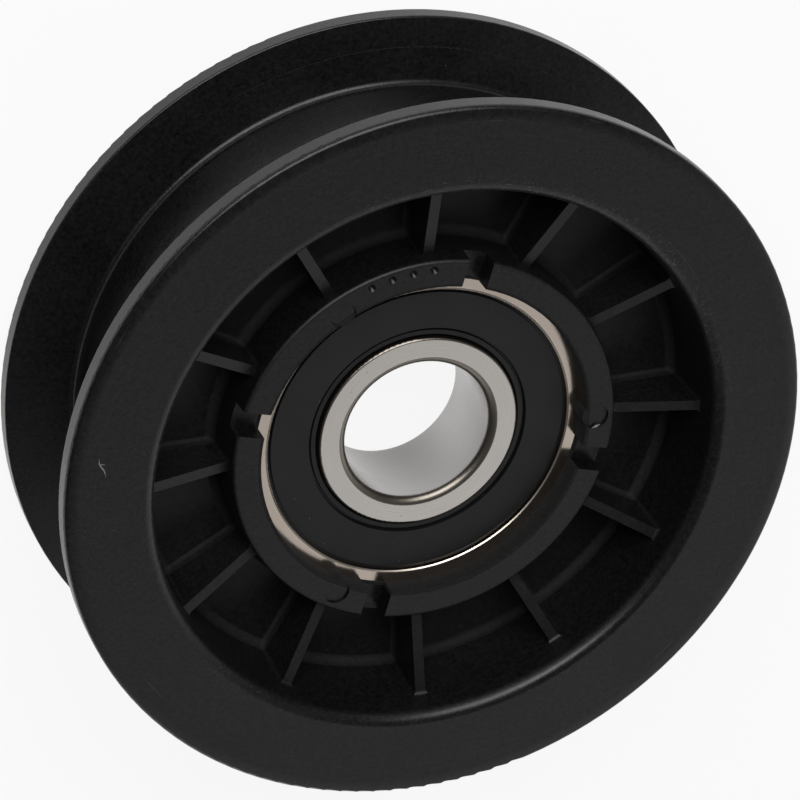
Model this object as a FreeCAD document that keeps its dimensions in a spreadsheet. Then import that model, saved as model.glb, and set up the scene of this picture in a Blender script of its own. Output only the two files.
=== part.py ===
# Idler pulley: a ribbed plastic wheel moulded round a sealed ball bearing.
import FreeCAD, Part
import math
import os
import re

import Sketcher

# Driving dimensions in millimetres and degrees. Heights are measured from the mid-plane of the wheel.
SIZES = {
    # bearing, a 17 x 40 x 12 metric size
    "bore_r": 8.5,
    "bearing_r": 20.0,
    "bearing_half": 6.0,
    "ring_corner": 0.7,
    "bore_corner": 0.9,
    "land_corner": 0.25,
    "ball_r": 3.3735,
    "ball_count": 8,
    "pitch_r": 14.25,
    "race_play": 0.02,
    "race_r": 3.51,
    "outer_shoulder_r": 16.6,
    "outer_mouth_r": 17.74,
    "inner_shoulder_r": 12.25,
    "inner_land_r": 11.7,
    "seal_step_z": 4.4,
    # seals
    "seal_groove_r": 18.05,
    "seal_groove_z": 5.3,
    "seal_face_r": 17.27,
    "seal_face_z": 5.75,
    "seal_flat_r": 12.86,
    "seal_valley_z": 5.2,
    "seal_lip_r": 12.5,
    "seal_lip_z": 5.5,
    "seal_mouth_r": 12.0,
    "seal_edge_z": 5.05,
    "seal_play": 0.05,
    # cage
    "cage_in_r": 13.05,
    "cage_out_r": 15.45,
    "cage_sheet": 0.6,
    "pocket_play": 0.1,
    "rivet_r": 0.5,
    "rivet_head_r": 0.95,
    "rivet_top_r": 0.65,
    "rivet_head": 0.4,
    # wheel
    "flange_r": 42.95,
    "face_z": 13.4,
    "crown_r": 41.8,
    "crown_round": 6.5,
    "rim_z": 13.2,
    "rim_round": 0.6,
    "cheek_z": 10.9,
    "cheek_round": 0.25,
    "floor_r": 35.4,
    "floor_half": 9.4,
    "root_round": 0.8,
    "recess_r": 32.7,
    "recess_draft": 0.4,
    "mouth_round": 1.4,
    "web_half": 1.7,
    "web_round": 1.0,
    "hub_r": 22.5,
    "hub_draft": 0.3,
    "hub_z": 8.5,
    "hub_round": 0.45,
    "lip_r": 19.2,
    "lip_round": 0.2,
    # ribs
    "rib_count": 12,
    "rib_in_r": 21.3,
    "rib_out_r": 33.8,
    "rib_in_z": 6.7,
    "rib_out_z": 9.75,
    "rib_width": 1.2,
    "rib_round": 0.5,
    # slots in the front of the hub
    "slot_count": 4,
    "slot_width": 2.95,
    "slot_floor_z": 6.1,
    "slot_angle": -15.0,
    # moulding gates on the front of the hub
    "gate_count": 3,
    "gate_r": 1.5,
    "gate_centre_r": 20.25,
    "gate_z": 8.2,
    "gate_angle": 60.0,
    # row of dots on the front of the hub
    "dot_count": 4,
    "dot_tip_r": 0.12,
    "dot_depth": 0.35,
    "dot_flare": 45.0,
    "dot_centre_r": 21.45,
    "dot_angle": 269.3,
    "dot_step": 6.5,
}

doc = FreeCAD.newDocument("idler_pulley")
sheet = doc.addObject("Spreadsheet::Sheet", "Sizes")
for row, (name, value) in enumerate(SIZES.items(), start=1):
    sheet.set(f"A{row}", name)
    sheet.set(f"B{row}", str(value))
    sheet.setAlias(f"B{row}", name)
doc.recompute()


def sized(text):
    """Expression whose words are aliases of the sheet."""
    return re.sub(r"[a-z]\w*", lambda word: f"Sizes.{word[0]}" if word[0] in SIZES else word[0], text)


def value_of(text):
    """Number that an expression has now."""
    return float(sheet.evalExpression(sized(text)))


def mirrored(corners):
    """The same corners on the other side of the mid-plane, in reverse order."""
    return [(r, f"-({z})", *bend) for r, z, *bend in reversed(corners)]


# Sketches and features

def origin_part(body, role):
    """Origin plane or axis of a body."""
    return next(part for part in body.Origin.OriginFeatures if part.Role == role)


def new_body(label):
    """Body that becomes one sub-part."""
    body = doc.addObject("PartDesign::Body", label)
    body.Label = label
    return body


def new_sketch(body, name, role, lift="0", turn="0", about=(0, 0, 1)):
    """Sketch on an origin plane, lifted along its normal and turned about one of its own axes."""
    sketch = body.newObject("Sketcher::SketchObject", name)
    sketch.AttachmentSupport = [(origin_part(body, role), "")]
    sketch.MapMode = "FlatFace"
    rotation = FreeCAD.Rotation(FreeCAD.Vector(*about), value_of(turn))
    sketch.AttachmentOffset = FreeCAD.Placement(FreeCAD.Vector(), rotation)
    sketch.setExpression("AttachmentOffset.Base.z", sized(lift))
    sketch.setExpression("AttachmentOffset.Rotation.Angle", sized(turn))
    return sketch


def bind_point(sketch, element, point, x, y):
    """Hold a sketch point at a place given by two expressions."""
    for kind, text in (("DistanceX", x), ("DistanceY", y)):
        number = sketch.addConstraint(Sketcher.Constraint(kind, -1, 1, element, point, value_of(text)))
        sketch.setExpression(f"Constraints[{number}]", sized(text))


def bind_radius(sketch, element, radius):
    """Hold a circle or arc to a radius given by an expression."""
    number = sketch.addConstraint(Sketcher.Constraint("Radius", element, value_of(radius)))
    sketch.setExpression(f"Constraints[{number}]", sized(radius))


def bend_points(before, corner, after, radius):
    """Start, end and centre of the arc that rounds the corner of a path through three points."""
    back, ahead = (before - corner).normalize(), (after - corner).normalize()
    half_angle = back.getAngle(ahead) / 2
    reach = radius / math.tan(half_angle)
    centre = corner + (back + ahead).normalize() * (radius / math.sin(half_angle))
    return corner + back * reach, corner + ahead * reach, centre


def add_bend(sketch, before, after, points, x, y, radius):
    """Arc between two lines of an outline, whose corner is kept as a construction point."""
    start, end, centre = points
    corner = FreeCAD.Vector(value_of(x), value_of(y), 0)
    turns_left = (corner - start).cross(end - corner).z > 0
    arc_start, arc_end = (1, 2) if turns_left else (2, 1)
    sweep = (start, end) if turns_left else (end, start)
    angles = [math.atan2(point.y - centre.y, point.x - centre.x) for point in sweep]
    circle = Part.Circle(centre, FreeCAD.Vector(0, 0, 1), value_of(radius))
    arc = sketch.addGeometry(Part.ArcOfCircle(circle, *angles))
    mark = sketch.addGeometry(Part.Point(corner), True)
    bind_point(sketch, mark, 1, x, y)
    for line, line_end, arc_point in ((before, 2, arc_start), (after, 1, arc_end)):
        sketch.addConstraint(Sketcher.Constraint("PointOnObject", mark, 1, line))
        sketch.addConstraint(Sketcher.Constraint("Tangent", line, line_end, arc, arc_point))
    bind_radius(sketch, arc, radius)


def draw_outline(sketch, corners):
    """Closed outline through corners, each two expressions and, where it is rounded, a radius."""
    places = [FreeCAD.Vector(value_of(x), value_of(y), 0) for x, y, *_ in corners]
    count = len(corners)
    turns = []
    for index, (_, _, *bend) in enumerate(corners):
        path = places[index - 1], places[index], places[(index + 1) % count]
        turns.append(bend_points(*path, value_of(bend[0])) if bend else (places[index], places[index]))
    for index in range(count):
        sketch.addGeometry(Part.LineSegment(turns[index][1], turns[(index + 1) % count][0]))
    for index, (x, y, *bend) in enumerate(corners):
        before = (index - 1) % count
        if bend:
            add_bend(sketch, before, index, turns[index], x, y, bend[0])
        else:
            sketch.addConstraint(Sketcher.Constraint("Coincident", before, 2, index, 1))
            bind_point(sketch, index, 1, x, y)


def draw_circle(sketch, x, y, radius):
    """Circle with its centre and radius given as expressions."""
    centre = FreeCAD.Vector(value_of(x), value_of(y), 0)
    element = sketch.addGeometry(Part.Circle(centre, FreeCAD.Vector(0, 0, 1), value_of(radius)))
    bind_point(sketch, element, 3, x, y)
    bind_radius(sketch, element, radius)


def turned(body, kind, sketch, name):
    """Revolution or Groove of a sketch about the wheel axis."""
    feature = body.newObject(f"PartDesign::{kind}", name)
    feature.Profile = sketch
    feature.ReferenceAxis = (sketch, ["V_Axis"])
    feature.Angle = 360
    doc.recompute()
    return feature


def turned_profile(body, name, corners, seam="0"):
    """Solid of revolution from an outline in radius and height, with its seam at an angle."""
    sketch = new_sketch(body, f"{name}_section", "XZ_Plane", turn=seam, about=(0, 1, 0))
    draw_outline(sketch, corners)
    return turned(body, "Revolution", sketch, name)


def extruded(body, kind, sketch, name, length, both_ways=False):
    """Pad, one way or evenly both ways, or upward Pocket of a sketch."""
    feature = body.newObject(f"PartDesign::{kind}", name)
    feature.Profile = sketch
    feature.setExpression("Length", sized(length))
    feature.Midplane = both_ways
    feature.Reversed = kind == "Pocket"
    doc.recompute()
    return feature


def around_axis(body, feature, name, count):
    """Repeat a feature evenly about the wheel axis."""
    pattern = body.newObject("PartDesign::PolarPattern", name)
    pattern.Originals = [feature]
    pattern.Axis = (origin_part(body, "Z_Axis"), [""])
    pattern.Angle = 360
    pattern.setExpression("Occurrences", sized(count))
    body.Tip = pattern
    doc.recompute()
    return pattern


def round_edges(body, name, radius, is_wanted, count):
    """Fillet the edges of a body that a test picks out, which must be as many as expected."""
    base = body.Tip
    names = [f"Edge{number}" for number, edge in enumerate(base.Shape.Edges, start=1) if is_wanted(edge)]
    if len(names) != count:
        raise RuntimeError(f"{name}: {len(names)} edges found, {count} wanted")
    fillet = body.newObject("PartDesign::Fillet", name)
    fillet.Base = (base, names)
    fillet.setExpression("Radius", sized(radius))
    doc.recompute()
    return fillet


# Pulley wheel

def make_wheel():
    """One moulding: flanges, groove floor, web, ribs and a hub that holds the bearing."""
    wheel = new_body("pulley_wheel")
    recess_foot_r = "recess_r - recess_draft"
    hub_foot_r = "hub_r + hub_draft"
    front = [
        ("floor_r", "floor_half", "root_round"),
        ("flange_r", "cheek_z", "cheek_round"),
        ("flange_r", "rim_z", "rim_round"),
        ("crown_r", "face_z", "crown_round"),
        ("recess_r", "face_z", "mouth_round"),
        (recess_foot_r, "web_half", "web_round"),
        (hub_foot_r, "web_half", "web_round"),
        ("hub_r", "hub_z", "hub_round"),
        ("lip_r", "hub_z", "lip_round"),
        ("lip_r", "bearing_half"),
        ("bearing_r", "bearing_half", "ring_corner"),
    ]
    turned_profile(wheel, "wheel_blank", front + mirrored(front), seam="180 / rib_count")
    add_gates(wheel)
    add_slots(wheel)
    add_dots(wheel)
    add_ribs(wheel)
    return wheel


def add_ribs(wheel):
    """Ribs from hub to rim on both sides of the web, higher at the rim and rounded into its wall."""
    outline = new_sketch(wheel, "rib_outline", "XZ_Plane")
    front = [("rib_out_r", "rib_out_z"), ("rib_in_r", "rib_in_z")]
    draw_outline(outline, front + mirrored(front))
    rib = extruded(wheel, "Pad", outline, "rib", "rib_width", both_ways=True)
    around_axis(wheel, rib, "ribs", "rib_count")

    def is_rib_end(edge):
        """Whether an edge lies where a rib's top or side meets the wall of the recess."""
        middle = edge.valueAt((edge.FirstParameter + edge.LastParameter) / 2)
        foot_r, mouth_r = value_of("recess_r - recess_draft"), value_of("recess_r")
        on_wall = foot_r < math.hypot(middle.x, middle.y) < mouth_r
        above_web = abs(middle.z) > value_of("web_half + web_round")
        below_top = max(abs(vertex.Z) for vertex in edge.Vertexes) < value_of("rib_out_z")
        return on_wall and above_web and below_top and not isinstance(edge.Curve, Part.Circle)

    sides_and_top, faces_of_web = 3, 2
    edge_count = int(value_of("rib_count")) * faces_of_web * sides_and_top
    round_edges(wheel, "rib_rounds", "rib_round", is_rib_end, edge_count)


def add_gates(wheel):
    """Round gate marks: bosses that break the lip's inner edge, sunk a little below the hub face."""
    centre = ("gate_centre_r * cos(gate_angle)", "gate_centre_r * sin(gate_angle)")
    boss_outline = new_sketch(wheel, "gate_boss_outline", "XY_Plane", lift="bearing_half")
    draw_circle(boss_outline, *centre, "gate_r")
    boss = extruded(wheel, "Pad", boss_outline, "gate_boss", "gate_z - bearing_half")
    around_axis(wheel, boss, "gate_bosses", "gate_count")
    mark_outline = new_sketch(wheel, "gate_mark_outline", "XY_Plane", lift="gate_z")
    draw_circle(mark_outline, *centre, "gate_r")
    mark = extruded(wheel, "Pocket", mark_outline, "gate_mark", "hub_z - gate_z + 1")
    around_axis(wheel, mark, "gate_marks", "gate_count")


def add_slots(wheel):
    """Slots across the front of the hub, down to the face of the bearing."""
    outline = new_sketch(wheel, "slot_outline", "XY_Plane", lift="slot_floor_z", turn="slot_angle")
    inner, outer = "lip_r - 1", "hub_r + hub_draft + 0.5"
    half = "slot_width / 2"
    draw_outline(outline, [(inner, f"-{half}"), (outer, f"-{half}"), (outer, half), (inner, half)])
    slot = extruded(wheel, "Pocket", outline, "slot", "hub_z - slot_floor_z + 1")
    around_axis(wheel, slot, "slots", "slot_count")


def add_dots(wheel):
    """Row of punched dots in the front of the hub."""
    outline = new_sketch(wheel, "dot_outline", "XY_Plane", lift="hub_z - dot_depth")
    for index in range(SIZES["dot_count"]):
        angle = f"(dot_angle + {index} * dot_step)"
        draw_circle(outline, f"dot_centre_r * cos({angle})", f"dot_centre_r * sin({angle})", "dot_tip_r")
    dots = extruded(wheel, "Pocket", outline, "dots", "dot_depth")
    dots.setExpression("TaperAngle", sized("dot_flare"))
    doc.recompute()


# Ball bearing

def cut_race(ring, name, centre_r):
    """Ball track round a ring."""
    sketch = new_sketch(ring, f"{name}_section", "XZ_Plane")
    draw_circle(sketch, centre_r, "0", "race_r")
    turned(ring, "Groove", sketch, name)


def make_outer_ring():
    """Outer ring with a ball track inside and a groove at each end that grips a seal."""
    ring = new_body("bearing_outer_ring")
    front = [
        ("outer_shoulder_r", "seal_step_z"),
        ("seal_groove_r", "seal_step_z"),
        ("seal_groove_r", "seal_groove_z"),
        ("outer_mouth_r", "seal_groove_z"),
        ("outer_mouth_r", "bearing_half"),
        ("bearing_r", "bearing_half", "ring_corner"),
    ]
    turned_profile(ring, "outer_ring_blank", front + mirrored(front))
    cut_race(ring, "outer_race", "pitch_r + ball_r + race_play - race_r")
    return ring


def make_inner_ring():
    """Inner ring with the mounting bore, a ball track outside and a land at each end for a seal lip."""
    ring = new_body("bearing_inner_ring")
    front = [
        ("bore_r", "bearing_half", "bore_corner"),
        ("inner_land_r", "bearing_half", "land_corner"),
        ("inner_land_r", "seal_step_z"),
        ("inner_shoulder_r", "seal_step_z"),
    ]
    turned_profile(ring, "inner_ring_blank", front + mirrored(front))
    cut_race(ring, "inner_race", "pitch_r - ball_r - race_play + race_r")
    return ring


def make_seals():
    """Front seal, snapped into the outer ring and lipped round the inner ring, and its mirror image."""
    front = new_body("front_seal")
    turned_profile(front, "seal_shape", [
        ("seal_groove_r", "seal_step_z"),
        ("seal_groove_r", "seal_groove_z"),
        ("seal_face_r", "seal_groove_z"),
        ("seal_face_r", "seal_face_z"),
        ("seal_flat_r", "seal_face_z"),
        ("seal_flat_r - 0.1", "seal_valley_z"),
        ("seal_lip_r + 0.1", "seal_valley_z"),
        ("seal_lip_r", "seal_lip_z"),
        ("seal_mouth_r", "seal_lip_z"),
        ("inner_land_r + seal_play", "seal_edge_z"),
        ("inner_land_r + seal_play", "seal_edge_z - 0.2"),
        ("seal_lip_r", "seal_step_z + 0.2"),
        ("seal_flat_r", "seal_step_z"),
    ])
    return [front, mirror_image(front, "rear_seal")]


def mirror_image(source, label):
    """Copy of a sub-part on the other side of the mid-plane."""
    image = doc.addObject("Part::Mirroring", label)
    image.Label = label
    image.Source = source
    image.Normal = (0, 0, 1)
    return image


def on_pitch_circle(shape, steps, height="0"):
    """Place a primitive on the pitch circle, counted in ball steps from the X axis."""
    angle = f"{steps} * 360 / ball_count"
    shape.setExpression("Placement.Base.x", sized(f"pitch_r * cos({angle})"))
    shape.setExpression("Placement.Base.y", sized(f"pitch_r * sin({angle})"))
    shape.setExpression("Placement.Base.z", sized(height))
    return shape


def primitive(kind, name, **sizes):
    """Part primitive whose sizes are expressions."""
    shape = doc.addObject(f"Part::{kind}", name)
    for size, text in sizes.items():
        shape.setExpression(size, sized(text))
    return shape


def joined(kind, name, shapes):
    """MultiFuse or MultiCommon of several shapes."""
    result = doc.addObject(f"Part::{kind}", name)
    result.Shapes = shapes
    return result


def cut(name, base, tool):
    """One shape less another."""
    result = doc.addObject("Part::Cut", name)
    result.Base = base
    result.Tool = tool
    return result


def make_balls():
    """Steel balls, evenly spaced on the pitch circle."""
    balls = []
    for index in range(SIZES["ball_count"]):
        ball = on_pitch_circle(primitive("Sphere", f"ball_{index + 1}", Radius="ball_r"), index)
        ball.Label = f"ball_{index + 1}"
        balls.append(ball)
    return balls


def ribbon(name, height):
    """Flat ring as wide as the cage, from the mid-plane up."""
    outer = primitive("Cylinder", f"{name}_outer", Radius="cage_out_r", Height=height)
    inner = primitive("Cylinder", f"{name}_inner", Radius="cage_in_r", Height=height)
    return cut(name, outer, inner)


def pocket_spheres(name, radius):
    """Spheres of one radius round all the balls."""
    spheres = []
    for index in range(SIZES["ball_count"]):
        spheres.append(on_pitch_circle(primitive("Sphere", f"{name}_{index + 1}", Radius=radius), index))
    return joined("MultiFuse", name, spheres)


def rivet_cone(name, lower_r, upper_r):
    """Head at one end of a rivet."""
    return primitive("Cone", name, Radius1=lower_r, Radius2=upper_r, Height="rivet_head")


def make_cage():
    """Pressed cage: two ribbons bulged round the balls, held together by rivets between the balls."""
    pocket_r = "ball_r + pocket_play"
    domes = pocket_spheres("cage_domes", f"{pocket_r} + cage_sheet")
    pockets = pocket_spheres("cage_pockets", pocket_r)
    dome_ribbon = joined("MultiCommon", "dome_ribbon", [ribbon("tall_ribbon", f"{pocket_r} + 1"), domes])
    pressed = joined("MultiFuse", "pressed_ribbon", [dome_ribbon, ribbon("flat_ribbon", "cage_sheet")])
    rivets, holes = [], []
    for index in range(SIZES["ball_count"]):
        steps = index + 0.5
        name = f"rivet_{index + 1}"
        shank = primitive("Cylinder", f"{name}_shank", Radius="rivet_r", Height="2 * cage_sheet")
        head = rivet_cone(f"{name}_head", "rivet_head_r", "rivet_top_r")
        tail = rivet_cone(f"{name}_tail", "rivet_top_r", "rivet_head_r")
        on_pitch_circle(shank, steps, "-cage_sheet")
        on_pitch_circle(head, steps, "cage_sheet")
        on_pitch_circle(tail, steps, "-cage_sheet - rivet_head")
        rivets.append(joined("MultiFuse", name, [shank, head, tail]))
        holes.append(shank)
    rivet_set = doc.addObject("Part::Compound", "cage_rivets")
    rivet_set.Label = "cage_rivets"
    rivet_set.Links = rivets
    pocketed = cut("pocketed_ribbon", pressed, pockets)
    front = cut("cage_front_half", pocketed, joined("MultiFuse", "rivet_holes", holes))
    front.Label = "cage_front_half"
    return [front, mirror_image(front, "cage_rear_half"), rivet_set]


sub_parts = [make_wheel(), make_outer_ring(), make_inner_ring(), *make_seals(), *make_cage(), *make_balls()]
doc.recompute()

# Checks before anything is written
for item in doc.Objects:
    if {"Invalid", "Error"} & set(item.State):
        raise RuntimeError(f"{item.Name} failed: {item.State}")
for part in sub_parts:
    if part.Shape.isNull() or not part.Shape.isValid():
        raise RuntimeError(f"{part.Label} has no valid shape")

os.makedirs("parts", exist_ok=True)
for part in sub_parts:
    part.Shape.exportStep(os.path.join("parts", f"{part.Label}.step"))
    print(f"{part.Label}: {part.Shape.Volume:.1f} mm3, {len(part.Shape.Solids)} solid(s)")
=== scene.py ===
import math

import bpy
from mathutils import Matrix, Vector


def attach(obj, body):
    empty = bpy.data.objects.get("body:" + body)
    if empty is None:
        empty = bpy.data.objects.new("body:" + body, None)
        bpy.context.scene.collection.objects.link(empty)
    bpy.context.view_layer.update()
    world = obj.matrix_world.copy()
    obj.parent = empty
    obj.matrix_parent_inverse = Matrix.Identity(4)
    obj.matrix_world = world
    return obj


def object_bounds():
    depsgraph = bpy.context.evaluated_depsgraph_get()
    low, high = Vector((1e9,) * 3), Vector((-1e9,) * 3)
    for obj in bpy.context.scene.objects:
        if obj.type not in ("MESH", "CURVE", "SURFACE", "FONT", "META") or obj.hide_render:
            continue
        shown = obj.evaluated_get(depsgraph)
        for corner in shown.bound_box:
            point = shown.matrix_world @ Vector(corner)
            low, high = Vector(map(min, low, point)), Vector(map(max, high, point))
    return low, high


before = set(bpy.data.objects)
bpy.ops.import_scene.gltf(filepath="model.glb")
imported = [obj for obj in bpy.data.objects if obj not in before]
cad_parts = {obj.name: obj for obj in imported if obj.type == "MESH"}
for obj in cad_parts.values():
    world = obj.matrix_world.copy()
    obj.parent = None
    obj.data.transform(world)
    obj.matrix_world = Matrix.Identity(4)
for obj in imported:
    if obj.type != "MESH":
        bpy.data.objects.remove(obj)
cad_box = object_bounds()

MM = 0.001

# The photograph's view of the wheel: its level axis in the wheel's plane, then the camera's own angles
LEVEL_AXIS_ANGLE = math.radians(181.66)
HEADING = math.radians(19.62)
LOOK_DOWN = math.radians(29.60)
CAMERA_DISTANCE = 488.3 * MM
AIM_RIGHT = -0.076 * MM
AIM_UP = 0.756 * MM
LENS_MM = 195.4
SENSOR_MM = 36.0

# The floor under the rear flange: half its width, its finish, and the share of it that shows as plain white
FLOOR_HALF = 5.0
FLOOR_COLOUR = (0.88, 0.88, 0.88)
FLOOR_ROUGHNESS = 0.9
FLOOR_GLOW = 0.9

# The studio sky: an even level, and soft patches with their direction, the cosines at which each starts
# and is full, and its strength
SKY_EVEN = 0.06
SKY_PATCHES = [
    ((-0.45, 0.85, 0.28), 0.66, 0.8, 0.52),
    ((0.3, 0.9, 0.3), 0.85, 1.0, 0.35),
    ((-0.95, 0.25, 0.3), 0.8, 1.0, 0.4),
    ((0, 0, 1), 0.2, 1.0, 0.05),
]

# The softbox: its direction from the wheel, its distance and size in metres, and its power in watts
SOFTBOX_TOWARD = (0.1, -0.68, 0.63)
SOFTBOX_AWAY = 0.7
SOFTBOX_WIDTH = 0.65
SOFTBOX_HEIGHT = 0.5
SOFTBOX_POWER = 4.0

# Colours of the finishes, from their darker to their lighter tone where they vary
PLASTIC_TONES = ((0.0012, 0.0013, 0.0015), (0.0080, 0.0078, 0.0081))
SCUFF_COLOUR = (0.2, 0.2, 0.2)
TORN_TONES = ((0.12, 0.12, 0.12), (0.34, 0.34, 0.34))
OUTER_RING_TONES = ((0.66, 0.57, 0.49), (0.72, 0.63, 0.55))
INNER_RING_TONES = ((0.76, 0.72, 0.68), (0.82, 0.78, 0.74))
# The bore wall's tones are painted shade: darker than the faces, in broad clouds for the shade and shadow
# edge inside the bore
BORE_SHADE_TONES = ((0.28, 0.27, 0.265), (0.44, 0.43, 0.425))
# Painted shade on the rounds at the bore and the land: darker and browner, for the dark surroundings they
# reflect
CORNER_SHADE_COLOUR = (0.25, 0.225, 0.195)
STAIN_COLOUR = (0.1, 0.08, 0.06)
RUBBER_TONES = ((0.005, 0.005, 0.0055), (0.008, 0.008, 0.0085))
DUST_COLOUR = (0.3, 0.3, 0.3)
CAGE_TONES = ((0.42, 0.41, 0.40), (0.54, 0.52, 0.50))
BALL_TONES = ((0.66, 0.65, 0.64), (0.72, 0.71, 0.70))

# Roughness of the finishes, from smoother to rougher where it varies
PLASTIC_ROUGHNESS = (0.27, 0.35)
LIP_ROUGHNESS = 0.9
RECESS_ROUGHNESS = 0.46
FOOT_ROUGHNESS = 0.8
TORN_ROUGHNESS = (0.5, 0.8)
OUTER_RING_ROUGHNESS = (0.13, 0.18)
INNER_RING_ROUGHNESS = (0.20, 0.27)
CORNER_ROUGHNESS = 0.32
RUBBER_ROUGHNESS = (0.36, 0.48)
CAGE_ROUGHNESS = (0.28, 0.42)
BALL_ROUGHNESS = (0.06, 0.14)

# How strongly the plastic and the rubber mirror, which is a little less than usual
BLACK_SPECULAR = 0.46

# How far pale marks, stains and dust cover the finish under them
MARKS_COVER = 0.25
STAINS_COVER = 0.6
DUST_COVER = 0.4

# Widths of the lumps in each finish
PLASTIC_GRAIN = 0.3 * MM
PLASTIC_MOTTLE = 0.5 * MM
PLASTIC_CLOUDS = 9 * MM
WORN_PATCHES = 7 * MM
WORN_CLUMPS = 1.2 * MM
TORN_FIBRES = 0.08 * MM
STEEL_CLOUDS = 4 * MM
# Width of the painted light and shade clouds on the bore wall
BORE_SHADE_CLOUDS = 12 * MM
RUBBER_GRAIN = 0.18 * MM
RUBBER_CLOUDS = 5 * MM
CAGE_GRAIN = 0.15 * MM
CAGE_CLOUDS = 2 * MM
GREASE_FILM = 1.5 * MM

# Distances between turned lines on the plastic's colour, on its skin and on ground steel
COLOUR_LINES = 0.5 * MM
SKIN_LINES = 0.25 * MM
GROUND_LINES = 0.06 * MM

# Places on the wheel where its skin differs, by radius and, at the foot of the recess, by height
LIP_R = 19.6 * MM
HUB_R = 22.0 * MM
FLANGE_R = 33.0 * MM
MOUTH_END_R = 35.4 * MM
WITNESS_R = 39.6 * MM
WITNESS_HALF = 0.06 * MM
FOOT_LOW = 1.71 * MM
FOOT_HIGH = 2.75 * MM

# The side of the mouth that is worn most, and how far out on that side the wear starts and is full
WORN_SIDE = (-0.5, -0.87, 0)
WORN_START = 14 * MM
WORN_FULL = 33 * MM

# Hairline scratches on the flanges: turn about the axis in degrees, length, width and share
HAIRLINES = [
    (35, 6 * MM, 0.12 * MM, 0.27),
    (108, 4 * MM, 0.1 * MM, 0.26),
]

# Corners of the wheel's turned section from the groove to the recess, in mm: radius, height, and the round
# that is shaded as a true arc, or 0 where the mesh is left as it is
SECTION = [
    (35.4, -9.4, 0),
    (35.4, 9.4, 0.8),
    (42.95, 10.9, 0),
    (42.95, 13.2, 0.6),
    (41.8, 13.4, 6.5),
    (32.7, 13.4, 1.4),
    (32.3, 1.7, 0),
]

# How far off an arc a point of the mesh may lie, and how far past the arc's ends, as an angle
ARC_MARGIN = 0.2 * MM
ARC_OVERLAP = math.radians(1)

# A length that keeps a direction from being zero
TINY = 1e-7

# The bore, whose wall has painted shade, and the rounds inside and outside the inner ring, duller than its
# faces and with painted shade
BORE_R = 8.53 * MM
CORNER_R = 9.36 * MM
LAND_START_R = 11.47 * MM
LAND_END_R = 11.8 * MM

# The edge of the outer ring beside the seal, broken by a narrow bevel
BREAK_START_R = 17.74 * MM
BREAK_END_R = 17.96 * MM
BREAK_DEPTH = 0.2 * MM

# Torn edges on the moulding, in mm: path as radius and angle in degrees, height it lies at, width and rise
TORN_EDGES = {
    "flange_nick": ([(39.73, 349.6), (39.55, 350.7), (38.87, 351.9), (38.61, 353.0)], 13.4, 0.26, 0.04),
    "flange_nick_spur": ([(39.55, 350.7), (39.2, 350.7), (38.86, 350.8)], 13.4, 0.18, 0.03),
    "gate_flake": ([(19.9, 175.9), (20.4, 176.4), (20.83, 177.0)], 8.5, 0.34, 0.06),
}
TORN_SINK = 0.02
TORN_TIP = 0.15

# Numbers of the Mix node's inputs and output for colours and for vectors
MIX_COLOURS = (6, 7)
MIXED_COLOUR = 2
MIX_VECTORS = (4, 5)
MIXED_VECTOR = 1

WHEEL_NODES = ["pulley_wheel"]
OUTER_RING_NODES = ["bearing_outer_ring"]
INNER_RING_NODES = ["bearing_inner_ring"]
SEAL_NODES = ["front_seal", "rear_seal"]
CAGE_NODES = ["cage_front_half", "cage_rear_half", "cage_rivets"]
BALL_NODES = [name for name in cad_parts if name.startswith("ball_")]


# Shader nodes

def add_node(tree, kind, inputs=None, **settings):
    """A shader node with its settings made and its inputs linked or filled in."""
    made = tree.nodes.new("ShaderNode" + kind)
    for key, value in settings.items():
        setattr(made, key, value)
    for key, value in (inputs or {}).items():
        if isinstance(value, bpy.types.NodeSocket):
            tree.links.new(value, made.inputs[key])
        else:
            made.inputs[key].default_value = value
    return made


def new_material(name):
    """A material with its node tree and its surface shader."""
    material = bpy.data.materials.new(name)
    material.use_nodes = True
    tree = material.node_tree
    return material, tree, tree.nodes["Principled BSDF"]


def connect(tree, surface, colour, roughness, normal=None):
    """Gives a surface shader its colour, its roughness and its normal."""
    tree.links.new(colour, surface.inputs["Base Color"])
    tree.links.new(roughness, surface.inputs["Roughness"])
    if normal is not None:
        tree.links.new(normal, surface.inputs["Normal"])


def math_node(tree, operation, *values):
    return add_node(tree, "Math", dict(enumerate(values)), operation=operation).outputs[0]


def dot_product(tree, first, second):
    return add_node(tree, "VectorMath", {0: first, 1: second}, operation="DOT_PRODUCT").outputs["Value"]


def length_of(tree, vector):
    return add_node(tree, "VectorMath", {0: vector}, operation="LENGTH").outputs["Value"]


def direction_of(tree, vector):
    return add_node(tree, "VectorMath", {0: vector}, operation="NORMALIZE").outputs[0]


def between(tree, value, low, high):
    """1 where value lies from low to high, and 0 elsewhere."""
    above = math_node(tree, "GREATER_THAN", value, low)
    return math_node(tree, "MULTIPLY", above, math_node(tree, "LESS_THAN", value, high))


def at_least(tree, value, where, level):
    """value, raised to level in the places where is 1."""
    return math_node(tree, "MAXIMUM", value, math_node(tree, "MULTIPLY", where, level))


def spread(tree, value, low, high, from_low=0.3, from_high=0.7):
    """value, which lies mostly from from_low to from_high, spread over low to high."""
    inputs = {"Value": value, "From Min": from_low, "From Max": from_high, "To Min": low, "To Max": high}
    return add_node(tree, "MapRange", inputs).outputs[0]


def blend_colours(tree, amount, first, second):
    made = add_node(tree, "Mix", {0: amount}, data_type="RGBA")
    for index, colour in zip(MIX_COLOURS, (first, second)):
        if isinstance(colour, bpy.types.NodeSocket):
            tree.links.new(colour, made.inputs[index])
        else:
            made.inputs[index].default_value = (*colour, 1)
    return made.outputs[MIXED_COLOUR]


def toned(tree, value, tones):
    """A colour between two tones, as a noise value has it."""
    return blend_colours(tree, spread(tree, value, 0, 1), *tones)


def object_place(tree):
    return add_node(tree, "TexCoord").outputs["Object"]


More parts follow.
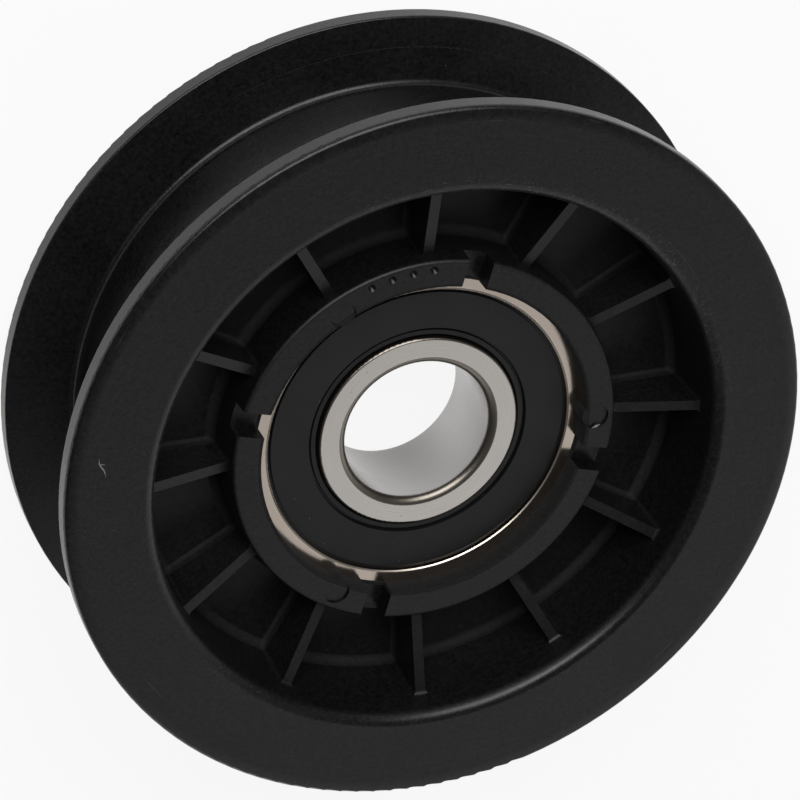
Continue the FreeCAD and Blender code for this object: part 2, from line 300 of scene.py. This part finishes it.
def polar_place(tree):
    """Radius, angle and height of the shaded point about the wheel's axis."""
    parts = add_node(tree, "SeparateXYZ", {0: object_place(tree)}).outputs
    flat = add_node(tree, "CombineXYZ", {0: parts["X"], 1: parts["Y"]}).outputs[0]
    angle = math_node(tree, "ARCTAN2", parts["Y"], parts["X"])
    return length_of(tree, flat), angle, parts["Z"]


def noise(tree, place, feature, detail=2.0, roughness=0.5):
    """A noise value whose lumps are about as wide as feature, in metres."""
    inputs = {"Vector": place, "Scale": 1 / feature, "Detail": detail, "Roughness": roughness}
    return add_node(tree, "TexNoise", inputs).outputs["Fac"]


def turning_marks(tree, pitch, wander):
    """Fine lines that run round the axis, pitch apart, and wander times unlike over a turn."""
    radius, angle, height = polar_place(tree)
    across = math_node(tree, "DIVIDE", radius, pitch)
    along = math_node(tree, "MULTIPLY", angle, wander)
    up = math_node(tree, "DIVIDE", height, pitch)
    place = add_node(tree, "CombineXYZ", {0: across, 1: along, 2: up}).outputs[0]
    return noise(tree, place, 1.0, detail=3.0, roughness=0.6)


def specks(tree, place, spacing, width, share):
    """1 on scattered dots, in a share of places about spacing apart and up to width wide, and 0 between."""
    cells = add_node(tree, "TexVoronoi", {"Vector": place, "Scale": 1 / spacing}).outputs
    draw = add_node(tree, "SeparateColor", {0: cells["Color"]}).outputs[0]
    reach = spread(tree, draw, 0, width / spacing / 2, from_low=1 - share, from_high=1)
    return math_node(tree, "LESS_THAN", cells["Distance"], reach)


def scratches(tree, turn, length, width, share, softness=0.04):
    """1 on straight hairlines that lie at turn degrees about the axis, and 0 between."""
    inputs = {"Vector": object_place(tree), "Rotation": (0, 0, math.radians(turn))}
    inputs["Scale"] = (1 / length, 1 / width, 1)
    place = add_node(tree, "Mapping", inputs).outputs[0]
    start = 1 - share
    return spread(tree, noise(tree, place, 1.0), 0, 1, from_low=start, from_high=start + softness)


def bump(tree, height, depth, strength, below=None):
    """A normal roughened by height, which stands for depth metres."""
    inputs = {"Height": height, "Distance": depth, "Strength": strength}
    if below is not None:
        inputs["Normal"] = below
    return add_node(tree, "Bump", inputs).outputs[0]


# The moulded wheel

def section_arcs():
    """The rounds of the wheel's section: an arc's centre, its radius, the direction of its middle, the angle
    from there to its ends, and 1 where it bulges or -1 where it is hollow."""
    for before, corner, after in zip(SECTION, SECTION[1:], SECTION[2:]):
        size = corner[2] * MM
        if size == 0:
            continue
        spot = Vector(corner[:2]) * MM
        back = (Vector(before[:2]) * MM - spot).normalized()
        ahead = (Vector(after[:2]) * MM - spot).normalized()
        half = back.angle(ahead) / 2
        inward = (back + ahead).normalized()
        centre = spot + inward * size / math.sin(half)
        bulge = math.copysign(1, ahead.cross(back))
        yield centre, size, -inward, math.pi / 2 - half, bulge


def turned_normal(tree):
    """The mesh's normal, and on the rounds of the wheel's section the one that their arcs have."""
    radius, _, height = polar_place(tree)
    parts = add_node(tree, "SeparateXYZ", {0: object_place(tree)}).outputs
    level = math_node(tree, "ABSOLUTE", height)
    on_arcs, outward, upward = 0.0, 0.0, TINY
    for centre, size, middle, sweep, bulge in section_arcs():
        beside = math_node(tree, "SUBTRACT", radius, centre.x)
        above = math_node(tree, "SUBTRACT", level, centre.y)
        from_centre = add_node(tree, "CombineXYZ", {0: beside, 1: above}).outputs[0]
        near_arc = math_node(tree, "COMPARE", length_of(tree, from_centre), size, ARC_MARGIN)
        facing = dot_product(tree, direction_of(tree, from_centre), (*middle, 0))
        between_ends = math_node(tree, "GREATER_THAN", facing, math.cos(sweep + ARC_OVERLAP))
        on_arc = math_node(tree, "MULTIPLY", near_arc, between_ends)
        sign = math_node(tree, "MULTIPLY", on_arc, bulge)
        on_arcs = math_node(tree, "ADD", on_arcs, on_arc)
        outward = math_node(tree, "MULTIPLY_ADD", sign, beside, outward)
        upward = math_node(tree, "MULTIPLY_ADD", sign, above, upward)
    share = math_node(tree, "DIVIDE", outward, radius)
    toward = add_node(tree, "CombineXYZ", {
        0: math_node(tree, "MULTIPLY", parts["X"], share),
        1: math_node(tree, "MULTIPLY", parts["Y"], share),
        2: math_node(tree, "MULTIPLY", upward, math_node(tree, "SIGN", height)),
    }).outputs[0]
    settings = {"vector_type": "NORMAL", "convert_from": "OBJECT", "convert_to": "WORLD"}
    true = add_node(tree, "VectorTransform", {0: direction_of(tree, toward)}, **settings).outputs[0]
    own = add_node(tree, "NewGeometry").outputs["Normal"]
    inputs = {0: on_arcs, MIX_VECTORS[0]: own, MIX_VECTORS[1]: true}
    return add_node(tree, "Mix", inputs, data_type="VECTOR").outputs[MIXED_VECTOR]


def face_marks(tree, worn):
    """Hairlines, where the skin is worn, and faint turned lines."""
    hairlines = 0.0
    for hairline in HAIRLINES:
        hairlines = math_node(tree, "MAXIMUM", hairlines, scratches(tree, *hairline))
    visible = spread(tree, worn, 0, 0.3, from_low=0.45, from_high=0.65)
    hairlines = math_node(tree, "MULTIPLY", hairlines, visible)
    lines = turning_marks(tree, COLOUR_LINES, wander=2.2)
    lines = spread(tree, lines, 0, 0.6, from_low=0.70, from_high=0.76)
    return math_node(tree, "MAXIMUM", hairlines, lines)


def mouth_wear(tree, worn):
    """Clumps of specks beside the mouth of the recess, palest on its worn side."""
    place = object_place(tree)
    radius = polar_place(tree)[0]
    near_mouth = spread(tree, radius, 1, 0, from_low=FLANGE_R, from_high=MOUTH_END_R)
    facing = dot_product(tree, place, WORN_SIDE)
    wear = math_node(
        tree, "ADD",
        spread(tree, worn, 0.1, 0.5, from_low=0.4, from_high=0.6),
        spread(tree, facing, 0, 0.9, from_low=WORN_START, from_high=WORN_FULL),
    )
    clumps = spread(tree, noise(tree, place, WORN_CLUMPS), 0.15, 1, from_low=0.45, from_high=0.6)
    wear = math_node(tree, "MULTIPLY", math_node(tree, "MULTIPLY", near_mouth, wear), clumps)
    dots = specks(tree, place, spacing=0.22 * MM, width=0.24 * MM, share=0.85)
    return math_node(tree, "MULTIPLY", dots, wear)


def pale_marks(tree):
    """How pale the plastic is: marks on the flanges, wear beside the mouth, and dust."""
    place = object_place(tree)
    worn = noise(tree, place, WORN_PATCHES, detail=3.0)
    marks = math_node(tree, "MAXIMUM", face_marks(tree, worn), mouth_wear(tree, worn))
    on_flange = math_node(tree, "GREATER_THAN", polar_place(tree)[0], FLANGE_R)
    marks = math_node(tree, "MULTIPLY", marks, on_flange)
    dust = specks(tree, place, spacing=1.1 * MM, width=0.16 * MM, share=0.25)
    return math_node(tree, "MAXIMUM", marks, dust)


def plastic_roughness(tree, grain):
    """A satin skin, duller inside the lip, in the recess and at the recess's foot."""
    radius, _, height = polar_place(tree)
    clouds = noise(tree, object_place(tree), PLASTIC_CLOUDS, detail=3.0)
    satin = spread(tree, clouds, *PLASTIC_ROUGHNESS)
    satin = math_node(tree, "ADD", satin, spread(tree, grain, -0.04, 0.05))
    inside_lip = math_node(tree, "LESS_THAN", radius, LIP_R)
    satin = at_least(tree, satin, inside_lip, LIP_ROUGHNESS)
    in_recess = between(tree, radius, HUB_R, FLANGE_R)
    satin = at_least(tree, satin, in_recess, RECESS_ROUGHNESS)
    foot_height = between(tree, math_node(tree, "ABSOLUTE", height), FOOT_LOW, FOOT_HIGH)
    at_foot = math_node(tree, "MULTIPLY", foot_height, in_recess)
    return at_least(tree, satin, at_foot, FOOT_ROUGHNESS)


def plastic_normal(tree, grain):
    """True rounds with a fine grain, faint turned lines and a witness line round each flange."""
    witness = math_node(tree, "COMPARE", polar_place(tree)[0], WITNESS_R, WITNESS_HALF)
    beside_witness = math_node(tree, "SUBTRACT", 1.0, witness)
    lines = turning_marks(tree, SKIN_LINES, wander=1.5)
    normal = bump(tree, grain, depth=0.016 * MM, strength=0.85, below=turned_normal(tree))
    normal = bump(tree, lines, depth=0.006 * MM, strength=0.2, below=normal)
    return bump(tree, beside_witness, depth=0.03 * MM, strength=0.4, below=normal)


def moulded_plastic():
    """Black glass-filled plastic: a mottled satin skin with fine grain and pale wear."""
    material, tree, surface = new_material("moulded_plastic")
    place = object_place(tree)
    grain = noise(tree, place, PLASTIC_GRAIN, detail=3.0)
    skin = toned(tree, noise(tree, place, PLASTIC_MOTTLE), PLASTIC_TONES)
    paleness = math_node(tree, "MULTIPLY", pale_marks(tree), MARKS_COVER)
    colour = blend_colours(tree, paleness, skin, SCUFF_COLOUR)
    connect(tree, surface, colour, plastic_roughness(tree, grain), plastic_normal(tree, grain))
    surface.inputs["Specular IOR Level"].default_value = BLACK_SPECULAR
    return material


def torn_plastic():
    """The wheel's plastic where it is torn: rough and pale."""
    material, tree, surface = new_material("torn_plastic")
    fibres = noise(tree, object_place(tree), TORN_FIBRES, detail=3.0)
    connect(tree, surface, toned(tree, fibres, TORN_TONES), spread(tree, fibres, *TORN_ROUGHNESS))
    return material


def torn_edge(name, path, level, width, rise, material):
    """A low ridge along a path on the wheel's skin, wide in the middle and pointed at its ends."""
    spots = []
    for radius, angle in path:
        turn = math.radians(angle)
        spots.append(Vector((radius * math.cos(turn), radius * math.sin(turn), level)))
    vertices = []
    for index, spot in enumerate(spots):
        along = spots[min(index + 1, len(spots) - 1)] - spots[max(index - 1, 0)]
        across = along.cross(Vector((0, 0, 1))).normalized()
        size = TORN_TIP + (1 - TORN_TIP) * math.sin(math.pi * index / (len(spots) - 1))
        foot = spot - Vector((0, 0, TORN_SINK))
        crest = spot + Vector((0, 0, rise * size))
        reach = across * width / 2 * size
        vertices += [foot + reach, crest, foot - reach]
    faces = [(0, 1, 2), tuple(range(len(vertices) - 1, len(vertices) - 4, -1))]
    for index in range(len(spots) - 1):
        here, ahead = 3 * index, 3 * index + 3
        for first, second in ((0, 1), (1, 2), (2, 0)):
            faces.append((here + second, here + first, ahead + first, ahead + second))
    mesh = bpy.data.meshes.new(name)
    mesh.from_pydata([vertex * MM for vertex in vertices], [], faces)
    mesh.materials.append(material)
    ridge = bpy.data.objects.new(name, mesh)
    bpy.context.scene.collection.objects.link(ridge)
    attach(ridge, "pulley")


def make_torn_edges():
    material = torn_plastic()
    for name, (path, level, width, rise) in TORN_EDGES.items():
        torn_edge(name, path, level, width, rise, material)


# The ball bearing

def ground_steel(name, tones, roughness):
    """Bearing steel, ground round its axis, with a few stains, dull edges, and painted shade darkening its
    bore wall and its edge rounds.
    """
    material, tree, surface = new_material(name)
    place = object_place(tree)
    radius = polar_place(tree)[0]
    clouds = noise(tree, place, STEEL_CLOUDS, detail=4.0)
    marks = turning_marks(tree, GROUND_LINES, wander=2.0)
    stains = specks(tree, place, spacing=0.9 * MM, width=0.2 * MM, share=0.15)
    stained = math_node(tree, "MULTIPLY", stains, STAINS_COVER)
    colour = blend_colours(tree, stained, toned(tree, clouds, tones), STAIN_COLOUR)
    # The bore wall is painted darker, in clouds, as painted shade inside the bore
    in_bore = math_node(tree, "LESS_THAN", radius, BORE_R)
    bore_painted_shade = toned(tree, noise(tree, place, BORE_SHADE_CLOUDS, detail=0.0), BORE_SHADE_TONES)
    colour = blend_colours(tree, in_bore, colour, bore_painted_shade)
    # The rounds at the bore and the land are painted darker and browner, as painted shade in what they
    # reflect
    at_bore = between(tree, radius, BORE_R, CORNER_R)
    at_land = between(tree, radius, LAND_START_R, LAND_END_R)
    on_corner = math_node(tree, "MAXIMUM", at_bore, at_land)
    colour = blend_colours(tree, on_corner, colour, CORNER_SHADE_COLOUR)
    on_break = between(tree, radius, BREAK_START_R, BREAK_END_R)
    satin = math_node(tree, "ADD", spread(tree, clouds, *roughness), spread(tree, marks, -0.04, 0.06))
    on_edge = math_node(tree, "MAXIMUM", on_corner, on_break)
    satin = at_least(tree, satin, on_edge, CORNER_ROUGHNESS)
    bevel = spread(tree, radius, 0, 1, from_low=BREAK_START_R, from_high=BREAK_END_R)
    normal = bump(tree, bevel, depth=BREAK_DEPTH, strength=1.0)
    normal = bump(tree, marks, depth=0.006 * MM, strength=0.3, below=normal)
    connect(tree, surface, colour, satin, normal)
    surface.inputs["Metallic"].default_value = 1.0
    return material


def seal_rubber():
    """Black nitrile rubber moulded on the seals' steel discs, with a little dust."""
    material, tree, surface = new_material("seal_rubber")
    place = object_place(tree)
    grain = noise(tree, place, RUBBER_GRAIN, detail=3.0)
    skin = toned(tree, noise(tree, place, RUBBER_CLOUDS, detail=3.0), RUBBER_TONES)
    dust = specks(tree, place, spacing=0.9 * MM, width=0.16 * MM, share=0.25)
    dusty = math_node(tree, "MULTIPLY", dust, DUST_COVER)
    colour = blend_colours(tree, dusty, skin, DUST_COLOUR)
    normal = bump(tree, grain, depth=0.008 * MM, strength=0.3)
    connect(tree, surface, colour, spread(tree, grain, *RUBBER_ROUGHNESS), normal)
    surface.inputs["Specular IOR Level"].default_value = BLACK_SPECULAR
    return material


def cage_sheet():
    """Pressed low-carbon steel sheet."""
    material, tree, surface = new_material("cage_sheet")
    place = object_place(tree)
    grain = noise(tree, place, CAGE_GRAIN)
    colour = toned(tree, noise(tree, place, CAGE_CLOUDS, detail=4.0), CAGE_TONES)
    normal = bump(tree, grain, depth=0.008 * MM, strength=0.3)
    connect(tree, surface, colour, spread(tree, grain, *CAGE_ROUGHNESS), normal)
    surface.inputs["Metallic"].default_value = 1.0
    return material


def ball_steel():
    """Lapped chrome steel with a film of grease."""
    material, tree, surface = new_material("ball_steel")
    film = noise(tree, object_place(tree), GREASE_FILM, detail=4.0)
    connect(tree, surface, toned(tree, film, BALL_TONES), spread(tree, film, *BALL_ROUGHNESS))
    surface.inputs["Metallic"].default_value = 1.0
    return material


def dress(names, material):
    """Gives CAD nodes their finish."""
    for name in names:
        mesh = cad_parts[name].data
        mesh.materials.clear()
        mesh.materials.append(material)


# The studio

def seen_directly(tree):
    """1 for what the camera, a reflection or a clear body shows, and 0 for light."""
    path = add_node(tree, "LightPath").outputs
    seen = math_node(tree, "MAXIMUM", path["Is Camera Ray"], path["Is Glossy Ray"])
    return math_node(tree, "MAXIMUM", seen, path["Is Transmission Ray"])


def floor_paper():
    """White paper that shows as white and still takes the wheel's shadow."""
    material, tree, surface = new_material("floor_paper")
    surface.inputs["Base Color"].default_value = (*FLOOR_COLOUR, 1)
    surface.inputs["Roughness"].default_value = FLOOR_ROUGHNESS
    surface.inputs["Specular IOR Level"].default_value = 0.0
    glow = add_node(tree, "Emission", {"Color": (1, 1, 1, 1), "Strength": 1.0})
    share = math_node(tree, "MULTIPLY", seen_directly(tree), FLOOR_GLOW)
    both = add_node(tree, "MixShader", {0: share, 1: surface.outputs[0], 2: glow.outputs[0]})
    tree.links.new(both.outputs[0], tree.nodes["Material Output"].inputs["Surface"])
    return material


def make_floor():
    low = cad_box[0][2]
    corners = [(x * FLOOR_HALF, y * FLOOR_HALF, low) for x, y in ((-1, -1), (1, -1), (1, 1), (-1, 1))]
    mesh = bpy.data.meshes.new("floor")
    mesh.from_pydata(corners, [], [(0, 1, 2, 3)])
    mesh.materials.append(floor_paper())
    floor = bpy.data.objects.new("floor", mesh)
    bpy.context.scene.collection.objects.link(floor)


def make_sky():
    """A dim studio with a few bright patches, which light the wheel and show in its reflections."""
    world = bpy.data.worlds.new("studio")
    bpy.context.scene.world = world
    world.use_nodes = True
    tree = world.node_tree
    toward = add_node(tree, "TexCoord").outputs["Generated"]
    level = SKY_EVEN
    for direction, start, full, strength in SKY_PATCHES:
        facing = dot_product(tree, toward, Vector(direction).normalized())
        patch = spread(tree, facing, 0, strength, from_low=start, from_high=full)
        level = math_node(tree, "ADD", level, patch)
    background = tree.nodes["Background"]
    background.inputs["Color"].default_value = (1, 1, 1, 1)
    tree.links.new(level, background.inputs["Strength"])


def make_softbox():
    lamp = bpy.data.lights.new("softbox", "AREA")
    lamp.shape = "RECTANGLE"
    lamp.size = SOFTBOX_WIDTH
    lamp.size_y = SOFTBOX_HEIGHT
    lamp.energy = SOFTBOX_POWER
    holder = bpy.data.objects.new("softbox", lamp)
    holder.location = Vector(SOFTBOX_TOWARD).normalized() * SOFTBOX_AWAY
    holder.rotation_euler = holder.location.to_track_quat("Z", "Y").to_euler()
    bpy.context.scene.collection.objects.link(holder)


def make_camera():
    """The camera of the photograph, turned about its own line of sight as the photograph is."""
    level = Vector((math.cos(LEVEL_AXIS_ANGLE), math.sin(LEVEL_AXIS_ANGLE), 0))
    axis = Vector((0, 0, 1))
    rise = axis.cross(level)
    right = level * math.cos(HEADING) + axis * math.sin(HEADING)
    ahead = axis * math.cos(HEADING) - level * math.sin(HEADING)
    back = rise * math.sin(LOOK_DOWN) + ahead * math.cos(LOOK_DOWN)
    up = back.cross(right)
    place = right * AIM_RIGHT + up * AIM_UP + back * CAMERA_DISTANCE
    data = bpy.data.cameras.new("camera")
    data.lens = LENS_MM
    data.sensor_width = SENSOR_MM
    camera = bpy.data.objects.new("camera", data)
    camera.matrix_world = Matrix.Translation(place) @ Matrix((right, up, back)).transposed().to_4x4()
    bpy.context.scene.collection.objects.link(camera)
    bpy.context.scene.camera = camera


dress(WHEEL_NODES, moulded_plastic())
dress(OUTER_RING_NODES, ground_steel("outer_ring_steel", OUTER_RING_TONES, OUTER_RING_ROUGHNESS))
dress(INNER_RING_NODES, ground_steel("inner_ring_steel", INNER_RING_TONES, INNER_RING_ROUGHNESS))
dress(SEAL_NODES, seal_rubber())
dress(CAGE_NODES, cage_sheet())
dress(BALL_NODES, ball_steel())
make_torn_edges()
make_floor()
make_sky()
make_softbox()
make_camera()
bpy.context.scene.view_settings.view_transform = "Standard"
